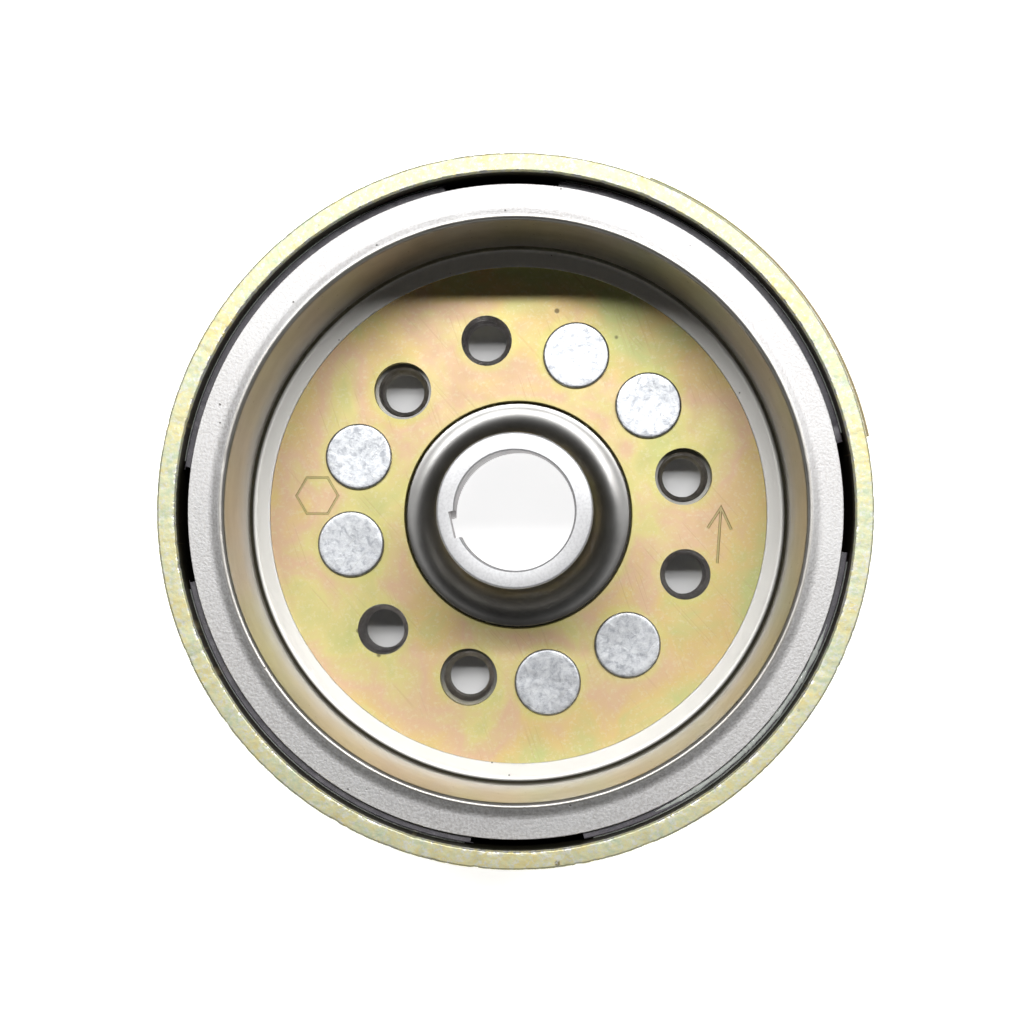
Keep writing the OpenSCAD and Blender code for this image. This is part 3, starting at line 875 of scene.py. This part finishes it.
def build_cup():
    bm = bmesh.new()
    add_turned(bm, cup_outline(), steps=2 * ROUND_STEPS)
    obj = link("cup_shell", bm)
    bm = bmesh.new()
    add_turned(bm, pad_outline(), PAD_START, PAD_SPAN, 96)
    boolean(obj, link("pad", bm), "UNION")
    tapped = tapped_side(BASE_BOTTOM_Z, BASE_TOP_Z, TAP_ROOT_R, TAP_CHAMFER_R)
    clear = straight_side(CLEARANCE_R)
    riveted = straight_side(RIVET_SHANK_R)
    sides = [(tapped, at_angle(a, THROUGH_CIRCLE_R)) for a in THROUGH_ANGLES]
    sides += [(clear, at_angle(a, HUB_CIRCLE_R)) for a in HUB_HOLE_ANGLES]
    sides += [(riveted, at_angle(a, RIVET_CIRCLE_R)) for a in RIVET_ANGLES]
    cut(obj, round_cutter(sides))
    cut(obj, arrow_cutter())
    cut(obj, hexagon_cutter())
    wear_rim(obj)
    smooth(obj)
    finish_piece(obj, [PLATING, BORED], ["cup"])
    paint_faces(obj, 1, in_through_hole)
    bm = bmesh.new()
    low_z, high_z = BASE_BOTTOM_Z + 0.6 * TAP_PITCH, BASE_TOP_Z - 0.55 * TAP_PITCH
    for a in THROUGH_ANGLES:
        thread_ridge(bm, a, THROUGH_CIRCLE_R, low_z, high_z)
    threads = link("cup_threads", bm)
    smooth(threads, 25)
    finish_piece(threads, [BORED], [])


def in_through_hole(point):
    """True on the wall and countersink of a hole tapped through the cup's base."""
    if not BASE_BOTTOM_Z < point.z < BASE_TOP_Z - 0.01 * MM:
        return False
    return any(
        (point.xy - (at_angle(a, THROUGH_CIRCLE_R) @ Vector()).xy).length < TAP_CHAMFER_R + 0.05 * MM
        for a in THROUGH_ANGLES
    )


# ---- hub ----


def in_hub_bore(point):
    """True on the wall of the bore and of its keyway."""
    return radius_of(point) < BORE_BACK_R + 0.1 * MM and 0.3 * MM < point.z < FACE_Z - 0.3 * MM


def in_hub_hole(point):
    """True on the walls of the tapped holes in the hub's flange."""
    if not HUB_BACK_Z < point.z < BASE_BOTTOM_Z - 0.01 * MM:
        return False
    places = [at_angle(a, THROUGH_CIRCLE_R) @ Vector() for a in THROUGH_ANGLES]
    places += [at_angle(a, HUB_CIRCLE_R) @ Vector() for a in HUB_HOLE_ANGLES]
    return any((point.xy - place.xy).length < TAP_CHAMFER_R + 0.1 * MM for place in places)


def hub_outline():
    """The hub's section: bore, back, flange, shoulder, hollow fillet, boss and face."""
    edge = HUB_EDGE
    small = SHOULDER_EDGE
    wide = HUB_FLANGE_EDGE
    mouth = 0.5 * MM
    hollow = (BOSS_R + BOSS_FILLET_R, SHOULDER_Z + BOSS_FILLET_R)
    return (
        [(LAND_R, FACE_Z - BORE_CHAMFER), (LAND_R, LAND_LOW_Z)]
        + [(BORE_BACK_R - mouth * TAPER_SLOPE, mouth), (BORE_BACK_R + mouth, 0)]
        + arc((SPIGOT_R - edge, edge), edge, -90, 0, 3)
        + [(SPIGOT_R, HUB_BACK_Z)]
        + arc((HUB_FLANGE_R - wide, HUB_BACK_Z + wide), wide, -90, 0, 5)
        + arc((HUB_FLANGE_R - edge, BASE_BOTTOM_Z - edge), edge, 0, 90, 3)
        + [(SHOULDER_R, BASE_BOTTOM_Z)]
        + arc((SHOULDER_R - small, SHOULDER_Z - small), small, 0, 90, 3)
        + arc(hollow, BOSS_FILLET_R, -90, -180, 24)
        + arc((BOSS_R - edge, FACE_Z - edge), edge, 0, 90, 4)
        + [(LAND_R + BORE_CHAMFER, FACE_Z)]
    )


def keyway_cutter():
    """The keyway's solid, whose floor follows the taper."""
    bm = bmesh.new()
    back_r = KEY_FLOOR_R + (LAND_LOW_Z + OVERLAP) * TAPER_SLOPE
    outline = [
        (KEY_START_R, -OVERLAP),
        (back_r, -OVERLAP),
        (KEY_FLOOR_R, LAND_LOW_Z),
        (KEY_FLOOR_R, FACE_Z + OVERLAP),
        (KEY_START_R, FACE_Z + OVERLAP),
    ]
    turn = Matrix.Rotation(KEY_ANGLE, 4, "Z")
    sides = [
        [bm.verts.new(turn @ Vector((r, y, z))) for r, z in outline]
        for y in (-KEY_WIDTH / 2, KEY_WIDTH / 2)
    ]
    bm.faces.new(sides[0])
    bm.faces.new(list(reversed(sides[1])))
    for i in range(len(outline)):
        j = (i + 1) % len(outline)
        bm.faces.new((sides[0][i], sides[1][i], sides[1][j], sides[0][j]))
    return link("keyway_cutter", bm)


def rivet_side():
    """The countersunk hole of a rivet in the hub's flange."""
    sink = RIVET_TAIL_R - RIVET_SHANK_R
    return [
        (RIVET_TAIL_R + OVERLAP, HUB_BACK_Z - OVERLAP),
        (RIVET_SHANK_R, HUB_BACK_Z + sink),
        (RIVET_SHANK_R, BASE_BOTTOM_Z + OVERLAP),
    ]


def build_hub():
    bm = bmesh.new()
    add_turned(bm, hub_outline())
    obj = link("hub_forging", bm)
    cut(obj, keyway_cutter())
    through = tapped_side(HUB_BACK_Z, BASE_BOTTOM_Z, TAP_BACK_CHAMFER_R, TAP_ROOT_R)
    hub_only = tapped_side(HUB_BACK_Z, BASE_BOTTOM_Z, TAP_BACK_CHAMFER_R, TAP_CHAMFER_R)
    sides = [(through, at_angle(a, THROUGH_CIRCLE_R)) for a in THROUGH_ANGLES]
    sides += [(hub_only, at_angle(a, HUB_CIRCLE_R)) for a in HUB_HOLE_ANGLES]
    sides += [(rivet_side(), at_angle(a, RIVET_CIRCLE_R)) for a in RIVET_ANGLES]
    cut(obj, round_cutter(sides))
    smooth(obj)
    finish_piece(obj, [FORGED, TURNED, BORED], ["hub"])
    paint_faces(obj, 1, lambda p: p.z > FACE_Z - 0.3 * MM)
    paint_faces(obj, 2, in_hub_bore)
    paint_faces(obj, 2, in_hub_hole)
    bm = bmesh.new()
    places = [(a, THROUGH_CIRCLE_R, 0.5) for a in THROUGH_ANGLES]
    places += [(a, HUB_CIRCLE_R, 0.75) for a in HUB_HOLE_ANGLES]
    for a, circle_r, top_gap in places:
        thread_ridge(bm, a, circle_r, HUB_BACK_Z + 0.7 * TAP_PITCH, BASE_BOTTOM_Z - top_gap * TAP_PITCH)
    threads = link("hub_threads", bm)
    smooth(threads, 25)
    finish_piece(threads, [BORED], [])


# ---- retainer ----


def slope_foot(radius, level):
    """Where the crest's outer slope, at that bend radius, meets a level."""
    r = RETAINER_R + ROLL_R + radius * math.sin(CREST_TILT)
    z = CREST_Z - ROLL_R + radius * math.cos(CREST_TILT)
    return r + (z - level) / math.tan(CREST_TILT)


def soft_fold(foot):
    """The curve by which the slope runs out into the flange."""
    steps = 6
    rise = math.tan(CREST_TILT) / (4 * FOLD_REACH)
    along = [2 * FOLD_REACH * i / steps for i in range(steps + 1)]
    return [(foot + FOLD_REACH - x, FLANGE_TOP_Z + rise * x * x) for x in along]


def retainer_outline():
    """One sheet: flange, raised crest, wall, bottom bend and lip."""
    roll = (RETAINER_R + ROLL_R, CREST_Z - ROLL_R)
    bend = (RETAINER_R - LIP_BEND_R, BASE_TOP_Z + SHEET_T + LIP_BEND_R)
    small = SHEET_EDGE
    over = 90 - math.degrees(CREST_TILT)
    upper_foot = slope_foot(ROLL_R, FLANGE_TOP_Z)
    lower_foot = slope_foot(ROLL_R - SHEET_T, FLANGE_TOP_Z - SHEET_T)
    return (
        arc((FLANGE_R - small, FLANGE_TOP_Z - SHEET_T + small), small, -90, 0, 2)
        + arc((FLANGE_R - small, FLANGE_TOP_Z - small), small, 0, 90, 3)
        + soft_fold(upper_foot)
        + arc(roll, ROLL_R, over, 180, 18)
        + arc(bend, LIP_BEND_R, 0, -90, 10)
        + arc((LIP_R + small, BASE_TOP_Z + SHEET_T - small), small, 90, 180, 3)
        + arc((LIP_R + small, BASE_TOP_Z + small), small, 180, 270, 2)
        + arc(bend, LIP_BEND_R + SHEET_T, -90, 0, 8)
        + arc(roll, ROLL_R - SHEET_T, 180, over, 6)
        + [(lower_foot, FLANGE_TOP_Z - SHEET_T)]
    )


def dent_retainer(obj):
    """Small waves of a pressed sheet, and a few dents in the crest."""
    for v in obj.data.vertices:
        r = radius_of(v.co)
        if v.co.z < CREST_Z - 1.5 * MM:
            continue
        seed = Vector((v.co.x, v.co.y, 0.02))
        wave = 0.02 * MM * noise.noise(seed * 60)
        dent = 0.0
        if r < RETAINER_R + 1.2 * MM:
            dent = 0.15 * MM * max(0.0, noise.noise(seed * 500) - 0.45)
        v.co.z += min(wave, 0.0) - dent


def build_retainer():
    bm = bmesh.new()
    add_turned(bm, retainer_outline())
    obj = link("retainer_sheet", bm)
    dent_retainer(obj)
    smooth(obj, 40)
    finish_piece(obj, [SHEET], ["magnet_retainer"])


# ---- rivets ----


def rivet_outline():
    """A flat head with a soft edge, a shank and a flush countersunk tail."""
    edge = RIVET_HEAD_EDGE
    head_z = BASE_TOP_Z + RIVET_HEAD_T
    sink = RIVET_TAIL_R - RIVET_SHANK_R
    inset = 0.02 * MM
    side = [
        (RIVET_TAIL_R, HUB_BACK_Z),
        (RIVET_SHANK_R - inset, HUB_BACK_Z + sink),
        (RIVET_SHANK_R - inset, BASE_TOP_Z),
        (RIVET_HEAD_R - 0.1 * MM, BASE_TOP_Z),
    ]
    side += arc((RIVET_HEAD_R - edge, head_z - edge), edge, -30, 90, 8)
    side += [(RIVET_HEAD_R * share, head_z) for share in (0.86, 0.8, 0.65, 0.45, 0.2)]
    return side


def hammer_head(obj, i):
    """Sinks the middle of a rivet's head, roughens its top and makes its edge uneven."""
    for v in obj.data.vertices:
        if v.co.z < BASE_TOP_Z + 0.1 * MM:
            continue
        r = radius_of(v.co)
        if v.co.z > BASE_TOP_Z + RIVET_HEAD_T - 0.02 * MM:
            rough = abs(noise.noise(Vector((v.co.x, v.co.y, 0.013 * i)) * 420))
            middle = 1 - min(1.0, r / (0.8 * RIVET_HEAD_R))
            v.co.z -= 0.05 * MM * middle + 0.035 * MM * rough
        if r > 0.9 * RIVET_HEAD_R:
            squeeze = 1 - 0.006 * (1 + noise.noise(Vector((v.co.x, v.co.y, 0.03 * i)) * 180))
            v.co.x *= squeeze
            v.co.y *= squeeze


def build_rivets():
    """Each rivet is its own piece, with a slightly uneven head."""
    for i, angle in enumerate(RIVET_ANGLES, start=1):
        bm = bmesh.new()
        add_solid_of_revolution(bm, rivet_outline(), RIVET_STEPS, Matrix())
        obj = link(f"rivet_{i}_head", bm)
        hammer_head(obj, i)
        obj.data.transform(at_angle(angle, RIVET_CIRCLE_R))
        smooth(obj, 50)
        finish_piece(obj, [RIVET], [f"rivet_{i}"])


# ---- magnets, spacers and adhesive ----


def arc_block(name, radii, heights, start, span, bevel, steps):
    """A ring sector with bevelled long edges."""
    low_r, high_r = radii
    low_z, high_z = heights
    outline = [
        (low_r + bevel, low_z),
        (high_r - bevel, low_z),
        (high_r, low_z + bevel),
        (high_r, high_z - bevel),
        (high_r - bevel, high_z),
        ((low_r + high_r) / 2, high_z),
        (low_r + bevel, high_z),
        (low_r, high_z - bevel),
        (low_r, low_z + bevel),
    ]
    bm = bmesh.new()
    add_turned(bm, outline, start, span, steps)
    return link(name, bm)


def build_magnets():
    """Four arcs with bevelled ends and slightly chipped top edges."""
    for i in range(1, 5):
        start = FIRST_GAP + GAP_SPAN / 2 + (i - 1) * TURN / 4
        radii = (MAGNET_INNER_R, MAGNET_OUTER_R)
        heights = (MAGNET_BOTTOM_Z, MAGNET_TOP_Z)
        obj = arc_block(f"magnet_{i}_block", radii, heights, start, MAGNET_SPAN, MAGNET_EDGE, 160)
        middle = start + MAGNET_SPAN / 2
        for v in obj.data.vertices:
            bevel_end(v, middle)
            if v.co.z > MAGNET_TOP_Z - 0.4 * MM:
                chip = max(0.0, noise.noise(Vector((v.co.x, v.co.y, 0.1 * i)) * 600) - 0.25)
                v.co.z -= 0.35 * MM * chip
        smooth(obj)
        finish_piece(obj, [FERRITE], [f"magnet_{i}"])


def bevel_end(v, middle):
    """Turns the outer corners of a magnet's ends in towards its middle."""
    angle = math.atan2(v.co.y, v.co.x)
    off = (angle - middle + math.pi) % TURN - math.pi
    r = radius_of(v.co)
    if abs(off) < MAGNET_SPAN / 2 - 1e-6:
        return
    share = (r - (MAGNET_OUTER_R - END_BEVEL)) / END_BEVEL
    if share <= 0:
        return
    pull = math.copysign(share * END_PULL / r, off)
    angle = middle + off - pull
    v.co.x = r * math.cos(angle)
    v.co.y = r * math.sin(angle)


def build_spacers():
    """Moulded spacers with two tabs and a low middle."""
    for i in range(1, 5):
        low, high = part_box(f"magnet_spacer_{i}")
        middle = FIRST_GAP + (i - 1) * TURN / 4
        half = GAP_SPAN / 2 - SPACER_SLACK
        name = f"magnet_spacer_{i}_body"
        radii = (SPACER_INNER_R, SPACER_OUTER_R)
        heights = (low.z, high.z - SPACER_DIP)
        obj = arc_block(name, radii, heights, middle - half, 2 * half, SPACER_EDGE, 24)
        for start in (middle - half, middle + half - SPACER_TAB):
            tab = arc_block("tab", radii, (low.z, high.z), start, SPACER_TAB, SPACER_EDGE, 8)
            boolean(obj, tab, "UNION")
        smooth(obj)
        finish_piece(obj, [PLASTIC], [f"magnet_spacer_{i}"])


def flattened(value):
    """Turns the circle of a cosine and a sine into a rounded square."""
    return math.copysign(abs(value) ** 0.5, value)


def bead_ring(share):
    """Points round the bead at that share of its length: flat below, a rounded square above."""
    a = BEAD_START + BEAD_SPAN * share
    ends = min(1.0, share * 12, (1 - share) * 12)
    lump = 0.72 + 0.5 * noise.noise(Vector((share * 19, 0, 0)))
    lump += 0.22 * noise.noise(Vector((share * 90, 3, 0)))
    radius = BEAD_R * max(0.12, min(1.0, ends * lump))
    points = []
    for k in range(BEAD_SIDES):
        t = TURN * k / BEAD_SIDES
        r = FLANGE_R + BEAD_R + radius * flattened(math.cos(t))
        z = MAGNET_TOP_Z + 0.25 * radius + 0.7 * radius * flattened(math.sin(t))
        points.append((r * math.cos(a), r * math.sin(a), max(z, MAGNET_TOP_Z)))
    return points


def build_bead():
    """A lumpy bead of adhesive that fades out at both ends."""
    bm = bmesh.new()
    rings = []
    for s in range(BEAD_STEPS + 1):
        share = s / BEAD_STEPS
        rings.append([bm.verts.new(point) for point in bead_ring(share)])
    join_rings(bm, rings)
    obj = link("adhesive_bead_run", bm)
    smooth(obj, 60)
    finish_piece(obj, [EPOXY], ["adhesive_bead"])


def keep_glue():
    """The hidden adhesive layers keep their CAD shape and get a finish."""
    for i in range(1, 5):
        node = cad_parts[f"glue_layer_{i}"]
        node.data.materials.clear()
        node.data.materials.append(EPOXY)


# ---- stage, light and camera ----


def build_stage():
    bpy.ops.mesh.primitive_plane_add(size=FLOOR_SIZE)
    floor = bpy.context.object
    floor.name = "floor"
    floor.location = (0, 0, HUB_LOW.z - FLOOR_GAP)
    floor.data.materials.append(paper())
    return floor


def aimed(place, aim):
    """A matrix that looks from a place to an aim below it, with +Y up in the view."""
    back = (Vector(place) - Vector(aim)).normalized()
    right = Vector((0, 1, 0)).cross(back).normalized()
    up = back.cross(right)
    turn = Matrix((right, up, back)).transposed().to_4x4()
    return Matrix.Translation(place) @ turn


def softbox(name, place, power):
    light = bpy.data.lights.new(name, "AREA")
    light.shape = "RECTANGLE"
    light.size, light.size_y = SOFTBOX_SIZE
    light.energy = power
    obj = bpy.data.objects.new(name, light)
    obj.matrix_world = aimed(place, SOFTBOX_AIM)
    bpy.context.scene.collection.objects.link(obj)
    return obj


def build_world():
    """A studio that is bright low down all round and dark overhead."""
    world = bpy.data.worlds.new("studio")
    world.use_nodes = True
    nodes, links = world.node_tree.nodes, world.node_tree.links
    place = nodes.new("ShaderNodeTexCoord")
    split = nodes.new("ShaderNodeSeparateXYZ")
    links.new(place.outputs["Generated"], split.inputs[0])
    ramp = nodes.new("ShaderNodeValToRGB")
    links.new(split.outputs["Z"], ramp.inputs["Fac"])
    elements = ramp.color_ramp.elements
    while len(elements) < len(STUDIO_GREYS):
        elements.new(0.5)
    for element, (position, grey) in zip(elements, STUDIO_GREYS):
        element.position = position
        element.color = (grey, grey, grey, 1)
    links.new(ramp.outputs["Color"], nodes["Background"].inputs["Color"])
    bpy.context.scene.world = world


def build_light(floor):
    """A long thin softbox, a little north of overhead, and one like it that brightens only the floor."""
    build_world()
    softbox("key", KEY_PLACE, KEY_POWER)
    floor_key = softbox("floor_key", FLOOR_KEY_PLACE, FLOOR_KEY_POWER)
    lit = bpy.data.collections.new("lit_by_floor_key")
    lit.objects.link(floor)
    floor_key.light_linking.receiver_collection = lit


def build_camera():
    data = bpy.data.cameras.new("camera")
    data.sensor_width = CAMERA_SENSOR
    data.lens = CAMERA_LENS
    camera = bpy.data.objects.new("camera", data)
    camera.matrix_world = aimed(CAMERA_PLACE, CAMERA_AIM)
    bpy.context.scene.collection.objects.link(camera)
    bpy.context.scene.camera = camera


build_cup()
build_hub()
build_retainer()
build_rivets()
build_magnets()
build_spacers()
build_bead()
keep_glue()
build_light(build_stage())
build_camera()
bpy.context.scene.view_settings.view_transform = "Standard"
